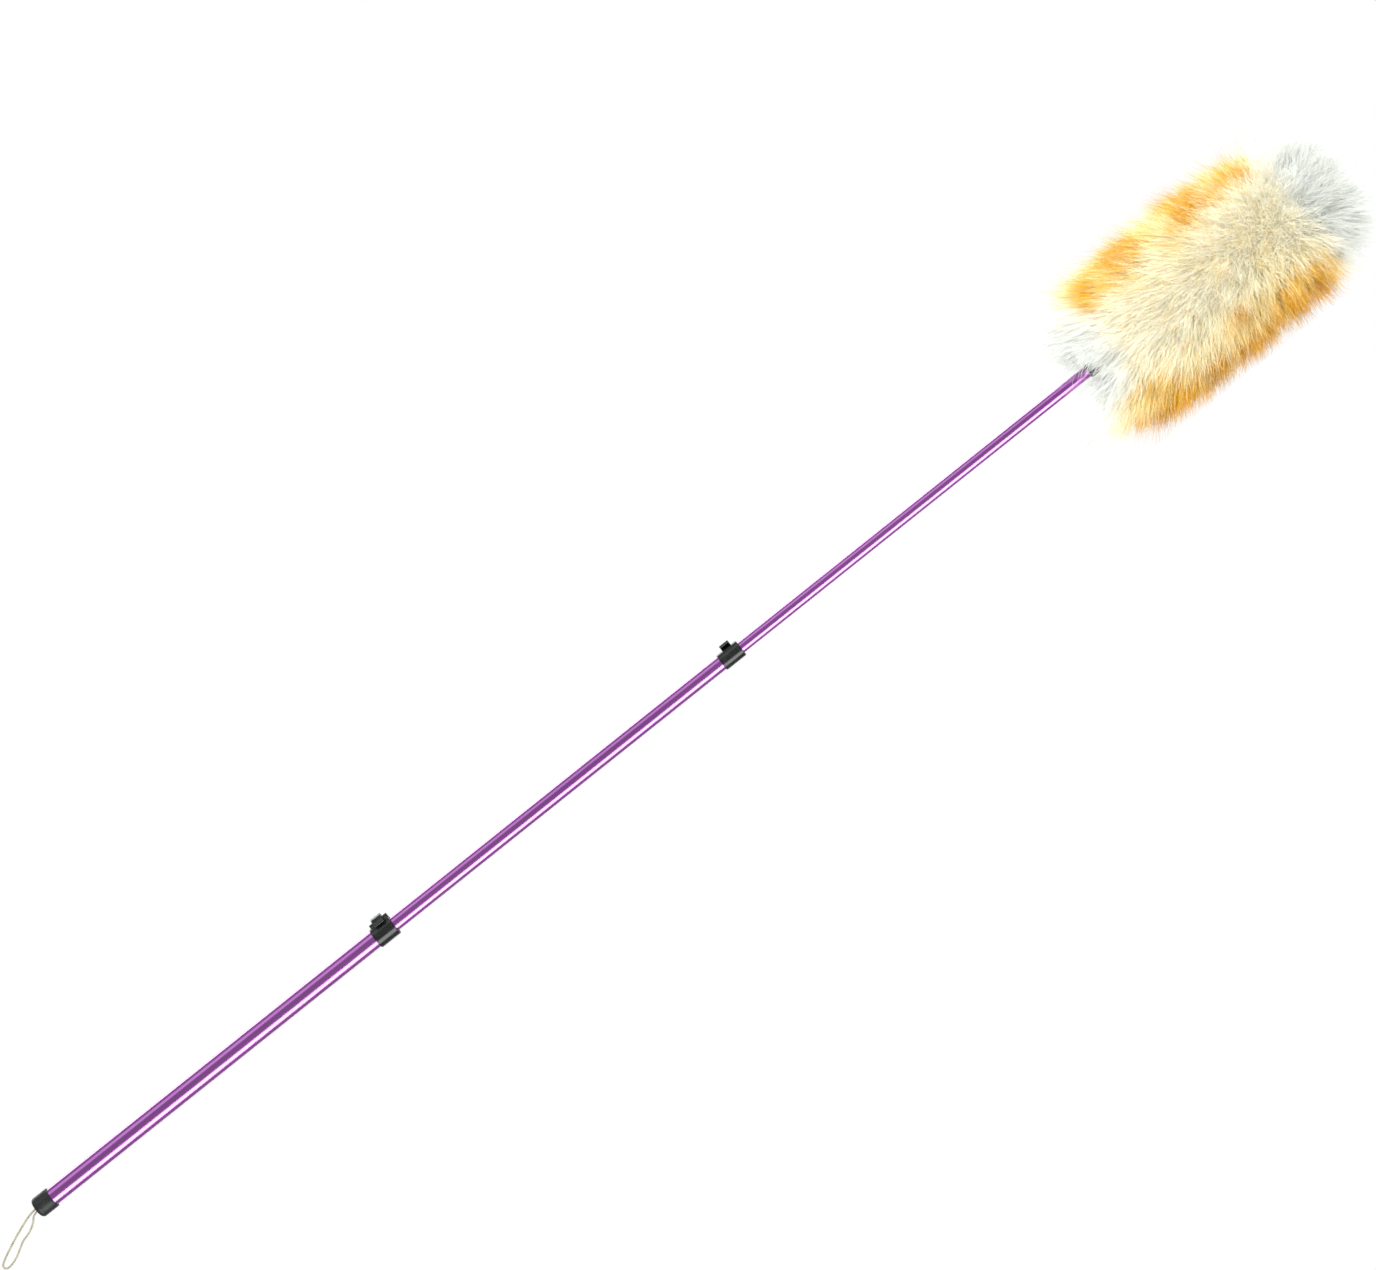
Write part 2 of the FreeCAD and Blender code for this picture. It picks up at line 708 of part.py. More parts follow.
def make_duster():
    lower = lock_sizes("lower", size.lower_outer, size.middle_outer)
    upper = lock_sizes("upper", size.middle_outer, size.upper_outer)
    middle_start = size.lower_bush_start - size.stop_gap
    upper_start = size.upper_bush_start - size.stop_gap
    make_end_cap()
    make_knot()
    make_cord()
    make_locked_tube("lower_tube", size.cap_floor, lower)
    make_locked_tube("middle_tube", middle_start, upper)
    tube_top = size.ferrule_start + size.ferrule_socket
    make_tube("upper_tube", size.upper_outer, upper_start, tube_top)
    make_guide_bush("lower_guide_bush", size.lower_bush_start, size.lower_outer, size.middle_outer)
    make_guide_bush("upper_guide_bush", size.upper_bush_start, size.middle_outer, size.upper_outer)
    make_glide("middle", middle_start, size.lower_outer, size.middle_outer)
    make_glide("upper", upper_start, size.middle_outer, size.upper_outer)
    for lock in (lower, upper):
        make_collar(lock)
        make_pin(lock)
        make_lever(lock)
        make_shoe(lock)
    make_ferrule()
    make_core()
    make_hide()
    make_pile()


def check_and_write():
    """Stops if anything in the document failed, then writes each sub-part's file."""
    doc.recompute()
    for made in doc.Objects:
        if "Invalid" in made.State or "Error" in made.State:
            raise RuntimeError(f"{made.Label} failed: {made.State}")
    os.makedirs("parts", exist_ok=True)
    for part in sub_parts:
        if part.Shape.isNull() or not part.Shape.isValid():
            raise RuntimeError(f"{part.Label} has no valid shape")
        part.Shape.exportStep(f"parts/{part.Label}.step")
        box = part.Shape.BoundBox
        print(f"{part.Label}: {part.Shape.Volume:.1f} mm3, z {box.ZMin:.1f} to {box.ZMax:.1f}")


make_duster()
check_and_write()
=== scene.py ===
import math

import bpy
import numpy as np
from mathutils import Matrix, Vector


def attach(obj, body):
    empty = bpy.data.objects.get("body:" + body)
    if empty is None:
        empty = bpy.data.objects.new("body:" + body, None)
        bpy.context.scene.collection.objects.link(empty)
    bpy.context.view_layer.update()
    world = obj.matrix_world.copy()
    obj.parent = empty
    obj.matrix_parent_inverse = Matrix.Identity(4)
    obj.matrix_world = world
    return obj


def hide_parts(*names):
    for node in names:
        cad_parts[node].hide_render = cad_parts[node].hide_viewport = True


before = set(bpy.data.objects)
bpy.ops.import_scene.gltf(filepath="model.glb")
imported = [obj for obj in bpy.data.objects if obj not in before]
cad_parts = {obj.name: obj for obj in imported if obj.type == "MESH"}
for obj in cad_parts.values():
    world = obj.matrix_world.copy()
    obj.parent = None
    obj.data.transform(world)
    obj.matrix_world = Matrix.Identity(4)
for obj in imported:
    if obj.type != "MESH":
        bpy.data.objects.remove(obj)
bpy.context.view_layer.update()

# ---------------------------------------------------------------- camera

LEAN = math.radians(38.573)  # the pole's angle above the picture's horizontal
AIM = Vector((-0.0393, 0.0, 0.7922))
DISTANCE = 3.4925


def make_camera():
    """Square to the pole and rolled, so that the upright pole leans in the picture."""
    data = bpy.data.cameras.new("camera")
    data.lens = 100
    data.sensor_width = 36
    data.dof.use_dof = False
    camera = bpy.data.objects.new("camera", data)
    bpy.context.scene.collection.objects.link(camera)
    right = Vector((math.sin(LEAN), 0, math.cos(LEAN)))
    up = Vector((-math.cos(LEAN), 0, math.sin(LEAN)))
    back = Vector((0, -1, 0))
    place = Matrix((right, up, back)).transposed().to_4x4()
    place.translation = AIM + back * DISTANCE
    camera.matrix_world = place
    bpy.context.scene.camera = camera


make_camera()

# ---------------------------------------------------------------- node helpers


NOISE_LOW, NOISE_HIGH = 0.3, 0.7  # nearly all of a noise texture's values lie in between


class Nodes:
    """A material's node tree, with a short way to add nodes and wire them."""

    def __init__(self, name):
        self.material = bpy.data.materials.new(name)
        self.material.use_nodes = True
        self.tree = self.material.node_tree
        self.shader = self.tree.nodes["Principled BSDF"]
        self.output = self.tree.nodes["Material Output"]

    def add(self, kind, **inputs):
        node = self.tree.nodes.new("ShaderNode" + kind)
        for key, value in inputs.items():
            self.put(node, key.replace("_", " "), value)
        return node

    def put(self, node, key, value):
        socket = node.inputs[key]
        if isinstance(value, bpy.types.NodeSocket):
            self.tree.links.new(value, socket)
        else:
            socket.default_value = value

    def place(self, scale=(1, 1, 1)):
        """Places in the row frame, in metres, stretched by scale."""
        where = self.add("TexCoord")
        mapping = self.add("Mapping", Vector=where.outputs["Object"], Scale=scale)
        return mapping.outputs["Vector"]

    def noise(self, scale, detail=4.0, rough=0.55, stretch=(1, 1, 1)):
        node = self.add("TexNoise", Vector=self.place(stretch), Scale=scale, Detail=detail)
        node.inputs["Roughness"].default_value = rough
        return node.outputs["Fac"]

    def cells(self, scale, stretch=(1, 1, 1)):
        node = self.add("TexVoronoi", Vector=self.place(stretch), Scale=scale)
        return node.outputs["Distance"]

    def ramp(self, fac, *stops):
        node = self.add("ValToRGB", Fac=fac)
        band = node.color_ramp
        while len(band.elements) < len(stops):
            band.elements.new(0.5)
        for element, (position, colour) in zip(band.elements, stops):
            element.position = position
            element.color = (*colour, 1)
        return node.outputs["Color"]

    def spread(self, fac, low, high):
        """A noise's values spread over low to high."""
        node = self.add("MapRange", Value=fac)
        node.inputs["From Min"].default_value = NOISE_LOW
        node.inputs["From Max"].default_value = NOISE_HIGH
        node.inputs["To Min"].default_value = low
        node.inputs["To Max"].default_value = high
        return node.outputs["Result"]

    def rise(self, value, low, high):
        """A smooth step from 0 at low to 1 at high, which may be the smaller one."""
        node = self.add("MapRange", Value=value)
        node.interpolation_type = "SMOOTHSTEP"
        node.inputs["From Min"].default_value = low
        node.inputs["From Max"].default_value = high
        return node.outputs["Result"]

    def bump(self, height, distance, strength=1.0, under=None):
        """A bump of height times distance in metres, over the one in under."""
        node = self.add("Bump", Height=height, Distance=distance, Strength=strength)
        if under is not None:
            self.put(node, "Normal", under)
        return node.outputs["Normal"]

    def finish(self, **inputs):
        """The material, once the shader has its inputs."""
        for key, value in inputs.items():
            self.put(self.shader, key.replace("_", " "), value)
        return self.material


# ---------------------------------------------------------------- materials


def purple_tube():
    """Anodised drawn aluminium: fine lines along the tube, and a slightly uneven dye."""
    n = Nodes("purple_tube")
    dye = n.noise(9, 3, 0.5, (1, 1, 0.25))
    lines = n.noise(900, 2, 0.5, (1, 1, 0.004))
    colour = n.ramp(dye, (0.3, (0.50, 0.15, 0.58)), (0.7, (0.58, 0.20, 0.66)))
    return n.finish(
        Base_Color=colour,
        Metallic=1.0,
        Roughness=n.spread(lines, 0.20, 0.27),
        Normal=n.bump(lines, 0.000012, 0.2),
        Coat_Weight=0.7,
        Coat_Roughness=0.12,
    )


def black_plastic(name, dark, light, rough, grain):
    """Moulded black plastic with a fine spark-eroded grain and a few rubbed places."""
    n = Nodes(name)
    rub = n.noise(140, 5, 0.6)
    texture = n.noise(grain, 3, 0.6)
    return n.finish(
        Base_Color=n.ramp(rub, (0.35, dark), (0.75, light)),
        Roughness=n.spread(rub, rough - 0.05, rough + 0.06),
        Normal=n.bump(texture, 0.00002, 0.3),
        Specular_IOR_Level=0.55,
    )


def cap_rubber():
    """Black rubber with mould lines along it and a matt grain."""
    n = Nodes("cap_rubber")
    wear = n.noise(160, 5, 0.65)
    grain = n.noise(2400, 3, 0.6)
    pores = n.cells(900)
    rough = n.bump(grain, 0.00005, 0.6)
    return n.finish(
        Base_Color=n.ramp(wear, (0.3, (0.004, 0.005, 0.005)), (0.72, (0.012, 0.014, 0.014))),
        Roughness=n.spread(wear, 0.42, 0.58),
        Normal=n.bump(pores, 0.00003, 0.4, rough),
        Specular_IOR_Level=0.45,
    )


def bush_plastic():
    """Natural white nylon, a little uneven."""
    n = Nodes("bush_plastic")
    cloud = n.noise(120, 4, 0.5)
    return n.finish(
        Base_Color=n.ramp(cloud, (0.3, (0.74, 0.74, 0.70)), (0.7, (0.84, 0.84, 0.82))),
        Roughness=n.spread(cloud, 0.38, 0.55),
        Normal=n.bump(n.noise(1500, 2), 0.00003, 0.4),
    )


def shoe_rubber():
    """Dark grey brake rubber, dull and a little rough."""
    n = Nodes("shoe_rubber")
    cloud = n.noise(500, 4, 0.6)
    return n.finish(
        Base_Color=n.ramp(cloud, (0.3, (0.035, 0.033, 0.032)), (0.7, (0.07, 0.068, 0.066))),
        Roughness=n.spread(cloud, 0.7, 0.9),
        Normal=n.bump(cloud, 0.00006, 0.6),
    )


def pin_steel():
    """Ground steel wire."""
    n = Nodes("pin_steel")
    lines = n.noise(3000, 2, 0.5, (1, 1, 0.05))
    return n.finish(
        Base_Color=n.ramp(lines, (0.3, (0.48, 0.48, 0.49)), (0.7, (0.62, 0.62, 0.63))),
        Metallic=1.0,
        Roughness=n.spread(lines, 0.22, 0.4),
        Normal=n.bump(lines, 0.00002, 0.5),
    )


def core_wood():
    """Turned softwood with its grain along the rod."""
    n = Nodes("core_wood")
    grain = n.noise(420, 5, 0.6, (1, 1, 0.05))
    return n.finish(
        Base_Color=n.ramp(grain, (0.3, (0.42, 0.27, 0.14)), (0.7, (0.66, 0.49, 0.30))),
        Roughness=n.spread(grain, 0.55, 0.75),
        Normal=n.bump(grain, 0.0001, 0.5),
    )


def hide_leather():
    """The flesh side of the hide, creased and unevenly tanned."""
    n = Nodes("hide_leather")
    creases = n.cells(260)
    cloud = n.noise(90, 5, 0.6)
    return n.finish(
        Base_Color=n.ramp(cloud, (0.3, (0.66, 0.54, 0.38)), (0.7, (0.82, 0.73, 0.57))),
        Roughness=n.spread(cloud, 0.65, 0.85),
        Normal=n.bump(creases, 0.0003, 0.5),
    )


def loop_cord():
    """Waxed tan thread: each strand has fine fibres and a few darker places."""
    n = Nodes("loop_cord")
    stain = n.noise(180, 5, 0.6)
    fibre = n.noise(3200, 3, 0.6)
    return n.finish(
        Base_Color=n.ramp(stain, (0.3, (0.21, 0.20, 0.13)), (0.7, (0.33, 0.31, 0.21))),
        Roughness=n.spread(stain, 0.5, 0.75),
        Normal=n.bump(fibre, 0.00008, 0.7),
    )


CREAM_BEGINS = 1.222, 1.265  # heights over which the fleece turns from white to cream
CREAM_ENDS = 1.500, 1.400  # and, from the tip down, again


def fleece():
    """The dense wool under the long hair: white at both ends and creamy in between, both darkened as
    painted shade, since it lies in the shade of the long hair.
    """
    n = Nodes("fleece")
    fluff = n.noise(75, 6, 0.65)
    fine = n.noise(520, 4, 0.7)
    height = n.add("SeparateXYZ", Vector=n.place()).outputs["Z"]
    middle = n.add("Math")
    middle.operation = "MULTIPLY"
    n.put(middle, 0, n.rise(height, *CREAM_BEGINS))
    n.put(middle, 1, n.rise(height, *CREAM_ENDS))
    # Painted shade: these whites and creams are darker than the wool's own colour, to stand in for
    # the shade under the long hair.
    white = n.ramp(fluff, (0.3, (0.44, 0.48, 0.47)), (0.7, (0.54, 0.57, 0.56)))
    cream = n.ramp(fluff, (0.3, (0.62, 0.50, 0.26)), (0.7, (0.70, 0.60, 0.36)))
    blend = n.add("MixRGB", Fac=middle.outputs["Value"], Color1=white, Color2=cream)
    soft = n.bump(fluff, 0.0015, 0.8)
    return n.finish(
        Base_Color=blend.outputs["Color"],
        Roughness=n.spread(fine, 0.75, 0.95),
        Normal=n.bump(fine, 0.001, 0.8, soft),
    )


HAIR_COLOURS = (  # steps from white over cream and orange to dark tan
    (0.73, 0.75, 0.71),
    (0.82, 0.84, 0.80),
    (0.95, 0.93, 0.80),
    (0.96, 0.90, 0.64),
    (0.92, 0.76, 0.36),
    (0.86, 0.55, 0.09),
    (0.82, 0.42, 0.015),
    (0.66, 0.31, 0.015),
    (0.50, 0.28, 0.07),
)


def hair_materials():
    """One material for each colour step, with a gloss and gloss tint that vary along the hair.
    The wool's colour pattern comes from the hairs, each of which runs through several steps."""
    made = []
    for step, colour in enumerate(HAIR_COLOURS):
        n = Nodes(f"hair_{step}")
        oily = n.noise(60, 3, 0.6)
        scales = n.noise(900, 2, 0.6)
        made.append(
            n.finish(
                Base_Color=(*colour, 1),
                Roughness=0.6,
                Specular_IOR_Level=n.spread(oily, 0.10, 0.40),
                Specular_Tint=n.ramp(scales, (0.3, (0.80, 0.76, 0.66)), (0.7, (1.0, 1.0, 1.0))),
            )
        )
    return made


CAD_FINISHES = {
    purple_tube(): ("lower_tube", "middle_tube", "upper_tube"),
    black_plastic("lock_plastic", (0.003, 0.0035, 0.0035), (0.008, 0.009, 0.009), 0.22, 1600): (
        "lower_lock_collar",
        "lower_lock_lever",
        "upper_lock_collar",
        "upper_lock_lever",
    ),
    black_plastic("ferrule_plastic", (0.003, 0.0035, 0.004), (0.008, 0.009, 0.010), 0.22, 1200): (
        "head_ferrule",
    ),
    cap_rubber(): ("end_cap",),
    bush_plastic(): (
        "lower_guide_bush",
        "upper_guide_bush",
        "middle_glide_plug",
        "upper_glide_plug",
        "middle_glide_ring",
        "upper_glide_ring",
    ),
    shoe_rubber(): ("lower_lock_shoe", "upper_lock_shoe"),
    pin_steel(): ("lower_lock_pin", "upper_lock_pin"),
    core_wood(): ("head_core",),
    hide_leather(): ("wool_hide",),
}


SHARP_FROM = math.radians(32)  # edges between faces at this angle or more stay sharp


def dress(material, name):
    """The carried-over CAD piece gets its material, and smooth shading on its curved faces."""
    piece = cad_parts[name]
    piece.data.materials.clear()
    piece.data.materials.append(material)
    piece.data.shade_smooth()
    piece.data.set_sharp_from_angle(angle=SHARP_FROM)


for finish_material, names in CAD_FINISHES.items():
    for cad_name in names:
        dress(finish_material, cad_name)

# ---------------------------------------------------------------- mesh helper


def add_mesh(name, corners, faces, materials, slots=None):
    """A smooth mesh from arrays: corners (n, 3), and faces (m, k) of k corners each."""
    mesh = bpy.data.meshes.new(name)
    mesh.vertices.add(len(corners))
    mesh.vertices.foreach_set("co", corners.astype(np.float32).ravel())
    sizes = np.concatenate([np.full(len(f), f.shape[1]) for f in faces])
    flat = np.concatenate([f.ravel() for f in faces])
    mesh.loops.add(len(flat))
    mesh.loops.foreach_set("vertex_index", flat.astype(np.int32))
    mesh.polygons.add(len(sizes))
    starts = np.concatenate([[0], np.cumsum(sizes)[:-1]])
    mesh.polygons.foreach_set("loop_start", starts.astype(np.int32))
    mesh.update(calc_edges=True)
    for material in materials:
        mesh.materials.append(material)
    if slots is not None:
        mesh.polygons.foreach_set("material_index", slots.astype(np.int32))
    mesh.shade_smooth()
    piece = bpy.data.objects.new(name, mesh)
    bpy.context.scene.collection.objects.link(piece)
    return piece


def unit(v):
    """Vectors scaled to length 1."""
    return v / np.linalg.norm(v, axis=-1, keepdims=True)


# ---------------------------------------------------------------- hanging loop

STRANDS_IN_CORD = 3
LAY_LENGTH = 0.0075  # one turn of the strands round each other
LAY_RADIUS = 0.00048  # from the cord's middle to a strand's middle
STRAND_RADIUS = 0.00054
STRAND_SIDES = 8
LOOP_ROUTE = (
    (-0.00110, 0.0, 0.0040),
    (-0.00100, 0.0, -0.0045),
    (0.00200, -0.0006, -0.0150),
    (0.00640, -0.0012, -0.0265),
    (0.01100, -0.0016, -0.0375),
    (0.01590, -0.0012, -0.0480),
    (0.01900, -0.0005, -0.0540),
    (0.02160, 0.0002, -0.0573),
    (0.02520, 0.0008, -0.0564),
    (0.02600, 0.0013, -0.0523),
    (0.02360, 0.0018, -0.0435),
    (0.01900, 0.0020, -0.0356),
    (0.01460, 0.0016, -0.0282),
    (0.01260, 0.0010, -0.0190),
    (0.00800, 0.0005, -0.0108),
    (0.00125, 0.0001, -0.0049),
    (0.00110, 0.0, 0.0040),
)


def loop_centreline():
    """The cord's middle line, read from a smooth curve through its route."""
    data = bpy.data.curves.new("loop_route", "CURVE")
    data.dimensions = "3D"
    data.resolution_u = 24
    spline = data.splines.new("NURBS")
    spline.points.add(len(LOOP_ROUTE) - 1)
    for point, place in zip(spline.points, LOOP_ROUTE):
        point.co = (*place, 1)
    spline.order_u = 3
    spline.use_endpoint_u = True
    holder = bpy.data.objects.new("loop_route", data)
    mesh = bpy.data.meshes.new_from_object(holder)
    line = np.array([v.co for v in mesh.vertices])
    bpy.data.objects.remove(holder)
    bpy.data.curves.remove(data)
    bpy.data.meshes.remove(mesh)
    return line


def frames_along(line):
    """Two sideways directions at each point of a line, carried along without twisting."""
    ahead = unit(np.gradient(line, axis=0))
    side = unit(np.cross(ahead[0], (0.0, 1.0, 0.0)))
    sides = []
    for direction in ahead:
        side = unit(side - direction * (side @ direction))
        sides.append(side)
    sides = np.array(sides)
    return sides, np.cross(ahead, sides)


def tube_faces(rings, around, first=0):
    """Quads of a tube, and its two end faces."""
    i, j = np.meshgrid(np.arange(rings - 1), np.arange(around), indexing="ij")
    a = i * around + j
    b = i * around + (j + 1) % around
    quads = np.stack([a, b, b + around, a + around], -1).reshape(-1, 4)
    ends = np.array([range(around)[::-1], range((rings - 1) * around, rings * around)])
    return quads + first, ends + first


def make_loop():
    """The cord's strands, laid round each other."""
    line = loop_centreline()
    side, up = frames_along(line)
    run = np.concatenate([[0], np.cumsum(np.linalg.norm(np.diff(line, axis=0), axis=1))])
    turn = (np.arange(STRAND_SIDES) / STRAND_SIDES * 2 * math.pi)[None, :, None]
    ring = side[:, None] * np.cos(turn) + up[:, None] * np.sin(turn)
    corners, quads, ends = [], [], []
    for strand in range(STRANDS_IN_CORD):
        angle = run / LAY_LENGTH * 2 * math.pi + strand * 2 * math.pi / STRANDS_IN_CORD
        c, s = np.cos(angle)[:, None], np.sin(angle)[:, None]
        centre = line + (side * c + up * s) * LAY_RADIUS
        q, e = tube_faces(len(line), STRAND_SIDES, strand * len(line) * STRAND_SIDES)
        corners.append((centre[:, None] + ring * STRAND_RADIUS).reshape(-1, 3))
        quads.append(q)
        ends.append(e)
    material = loop_cord()
    piece = add_mesh(
        "hanging_cord",
        np.concatenate(corners),
        [np.concatenate(quads), np.concatenate(ends)],
        [material],
    )
    dress(material, "loop_knot")
    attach(piece, "handle")
    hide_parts("hang_loop")


make_loop()

# ---------------------------------------------------------------- wool

BASE, TIP = 1.206, 1.524
MIDDLE, HALF = (BASE + TIP) / 2, (TIP - BASE) / 2
WIDE = 0.081  # the outer shape's largest radius
SIDE_POWER, END_POWER = 0.52, 0.66  # below 1 the sides are straighter and the ends flatter
CORE_SHARE = 0.64  # the length that the hairs grow from, beside the head's
DRAWN_UP = 0.030  # the base's edge at the front and back, above its edge at the sides
DRAWN_OVER = 1.300, 1.212  # heights over which that grows from nothing to all of it
FLEECE_SHARE = 0.68  # how far out the dense wool reaches, beside the long hair
NECK_RADIUS, NECK_HEIGHT, NECK_SLOPE = 0.011, 1.249, 1.5  # the fleece's lower end, at the ferrule
WIDEST_REACH = 0.0932  # no hair stands out further than this
LOCK_ROOM = 0.030  # no hair within this radius hangs below the base, where the upper lock comes
TUFTS = 5200
RINGS = 5  # along a hair
TIP_SHARE = 0.08  # a hair's thickness at its tip, beside its root
HAIRS = (  # start and reach are shares of the way from the core to the outer shape
    dict(
        name="wool_hair",
        pieces=8,
        count=52000,
        start=0.52,
        stray=0.0042,
        loose=(0.12, 0.85),
        reach=(0.92, 1.03),
        thick=(0.00018, 0.00033),
    ),
    dict(
        name="wool_under",
        pieces=4,
        count=24000,
        start=0.62,
        stray=0.010,
        loose=(0.9, 1.6),
        reach=(0.80, 0.92),
        thick=(0.00020, 0.00032),
    ),
    dict(
        name="wool_fuzz",
        pieces=2,
        count=12000,
        start=0.6,
        stray=0.0042,
        loose=(0.9, 1.8),
        reach=(0.98, 1.15),
        thick=(0.00010, 0.00018),
    ),
)
chance = np.random.default_rng(20)


def ripples(places, size, seed, count=14):
    """Smooth noise from -1 to 1 or so, with features about size across."""
    rng = np.random.default_rng(seed)
    waves = unit(rng.normal(size=(count, 3))) * (2 * math.pi / size)
    waves *= rng.uniform(0.6, 1.5, (count, 1))
    shift = rng.uniform(0, 2 * math.pi, count)
    return np.sin(places @ waves.T + shift).sum(-1) / math.sqrt(count / 2) / 1.4


def smooth(low, high, value):
    """A smooth step from 0 at low to 1 at high, which may be the smaller one."""
    t = np.clip((value - low) / (high - low), 0, 1)
    return t * t * (3 - 2 * t)


def outline(angle, share=1.0):
    """Radius and height of the head's outer shape, from the base at -90 degrees to the tip."""
    r = WIDE * np.abs(np.cos(angle)) ** SIDE_POWER
    z = MIDDLE + HALF * np.sign(np.sin(angle)) * np.abs(np.sin(angle)) ** END_POWER
    z_inner = MIDDLE + (z - MIDDLE) * CORE_SHARE
    return r * share, z_inner + (z - z_inner) * share


def at(radius, around, height):
    """Places at a radius and an angle round the pole."""
    return np.stack([radius * np.cos(around), radius * np.sin(around), height], -1)


def drawn_up(turn, height):
    """The base's edge stands higher at the front and back than at the two sides."""
    return height + DRAWN_UP * np.sin(turn) ** 2 * smooth(*DRAWN_OVER, height)


def make_fleece():
    """The dense wool that the long hair grows out of, drawn in round the ferrule."""
    rows, around = 130, 260
    last = math.pi / 2 - 0.02  # the two ends are small flat faces
    angle = np.linspace(-last, last, rows)
    turn = np.arange(around) / around * 2 * math.pi
    r, z = outline(angle, FLEECE_SHARE)
    neck = NECK_HEIGHT - NECK_SLOPE * (r - NECK_RADIUS)
    z = np.where(angle < 0, np.maximum(z, neck), z)
    corners = at(r[:, None], turn[None], drawn_up(turn[None], z[:, None]))
    lumps = ripples(corners, 0.030, 3) * 0.6 + ripples(corners, 0.011, 4) * 0.4
    grown = 1 + 0.03 * lumps * smooth(0.012, 0.03, r)[:, None]
    corners[..., :2] *= grown[..., None]
    quads, ends = tube_faces(rows, around)
    piece = add_mesh("wool_fleece", corners.reshape(-1, 3), [quads, ends], [fleece()])
    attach(piece, "head_section")
    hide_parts("wool_pile")


def spots(count, gap=0.020):
    """Places spread evenly over the head's outer shape: angle along the outline, and round it.
    The base has none within a radius of gap, where the ferrule comes out."""
    angle = np.linspace(-math.pi / 2, math.pi / 2, 4000)
    r, z = outline(angle)
    step = np.hypot(np.gradient(r), np.gradient(z)) * r
    step[(angle < 0) & (r < gap)] = 0
    total = np.cumsum(step)
    picked = np.interp(chance.uniform(0, total[-1], count), total, angle)
    return picked, chance.uniform(0, 2 * math.pi, count)


def sideways(direction):
    """Two unit vectors across each direction."""
    first = unit(np.cross(direction, np.array((0.0, 0.0, 1.0)) + 1e-3))
    return first, np.cross(direction, first)


def tuft_leans(angle, side):
    """How far each tuft's end is combed from its straight way: a little any way, and towards the
    base over the sides, but not at the tip or in the middle of the base."""
    lean = chance.normal(0, 0.0045, (TUFTS, 3))
    combed = (1 - smooth(0.15, 1.0, np.sin(angle))) * (np.sin(angle) > -0.93)
    lean[:, 2] += (-0.017 + 0.005 * side) * combed
    return lean


def tuft_colours(tip, height, side):
    """Each tuft's shares, 0 to 1: cream of the middle, painted shade (a darker cream, mostly on the
    +X side away from the key light), and orange at the ends.
    """
    share = (height - BASE) / (TIP - BASE)
    begins = 0.10 - 0.05 * side
    middle = smooth(begins - 0.05, begins + 0.05, share) * (1 - smooth(0.79, 0.89, share))
    patch = ripples(tip, 0.034, 5)
    orange = np.clip(0.74 + 0.6 * patch + chance.normal(0, 0.12, TUFTS), 0.12, 1)
    orange *= middle * smooth(0.52, 0.92, np.abs(side) + 0.14 * ripples(tip, 0.055, 7))
    # Painted shade: the middle's cream turns darker towards +X, the side in shade, and half as much
    # at the -X edge.
    painted_shade = middle * (smooth(0.2, 0.9, side) + 0.5 * smooth(0.5, 0.95, -side))
    return dict(middle=middle, painted_shade=painted_shade, orange=orange)


def make_tufts():
    """Tufts from the core to the outer shape. Side is -1 to 1 across the pole, along X."""
    angle, turn = spots(TUFTS)
    r, z = outline(angle)
    side = np.cos(turn)
    tip = at(r, turn, drawn_up(turn, z))
    tip[:, 0] += 0.004  # the head is a little fuller on that side
    root = at(np.minimum(r * 0.12, 0.008), turn, MIDDLE + (z - MIDDLE) * CORE_SHARE)
    lean = tuft_leans(angle, side)
    return dict(tip=tip, root=root, lean=lean, turn=turn, **tuft_colours(tip, z, side))


def strand_lines(tufts, owner, start, loose, reach, stray):
    """The middle lines of the hairs, (hairs, RINGS, 3). Each starts part of the way out in its
    tuft, and where loose is below 1 the hairs gather towards the tuft's end."""
    count = len(owner)
    t = start + (1 - start) * np.linspace(0, 1, RINGS)[None, :, None]
    grow = (t - start) / (1 - start)
    root, tip = tufts["root"][owner], tufts["tip"][owner]
    along = unit(tip - root)
    first, second = sideways(along)
    spread = chance.normal(0, 0.0034, (count, 2))
    offset = first * spread[:, :1] + second * spread[:, 1:]
    length = np.linalg.norm(tip - root, axis=1, keepdims=True) * reach
    gather = 1 - grow * (1 - loose)[:, None, None]
    line = root[:, None] + (along * length)[:, None] * t + offset[:, None] * gather
    line += tufts["lean"][owner][:, None] * grow**1.6
    line += chance.normal(0, stray, (count, 1, 3)) * grow**1.8
    phase = chance.uniform(0, 6.3, (count, 1, 1)) * 0.25 + (owner % 97)[:, None, None]
    size = chance.uniform(0.0004, 0.0016, (count, 1, 1)) * grow
    line += first[:, None] * np.sin(grow * 7.5 + phase) * size
    line += second[:, None] * np.cos(grow * 6.0 + phase * 1.7) * size
    out = np.linalg.norm(line[..., :2], axis=-1, keepdims=True)
    line[..., :2] *= np.minimum(1, WIDEST_REACH / out)
    low = np.where(out[..., 0] < LOCK_ROOM, BASE, 0.0)
    line[..., 2] = np.maximum(line[..., 2], low)
    return line


def strand_corners(line, thick, taper):
    """Three-sided tapering tubes round the lines."""
    ahead = unit(np.gradient(line, axis=1))
    aside = unit(chance.normal(size=(len(line), 1, 3)))
    p = unit(np.cross(ahead, aside))
    q = np.cross(ahead, p)
    turn = (np.arange(3) / 3 * 2 * math.pi)[None, None, :, None]
    ring = p[:, :, None] * np.cos(turn) + q[:, :, None] * np.sin(turn)
    radius = thick[:, None] * taper[None, :]
    return line[:, :, None] + ring * radius[:, :, None, None]


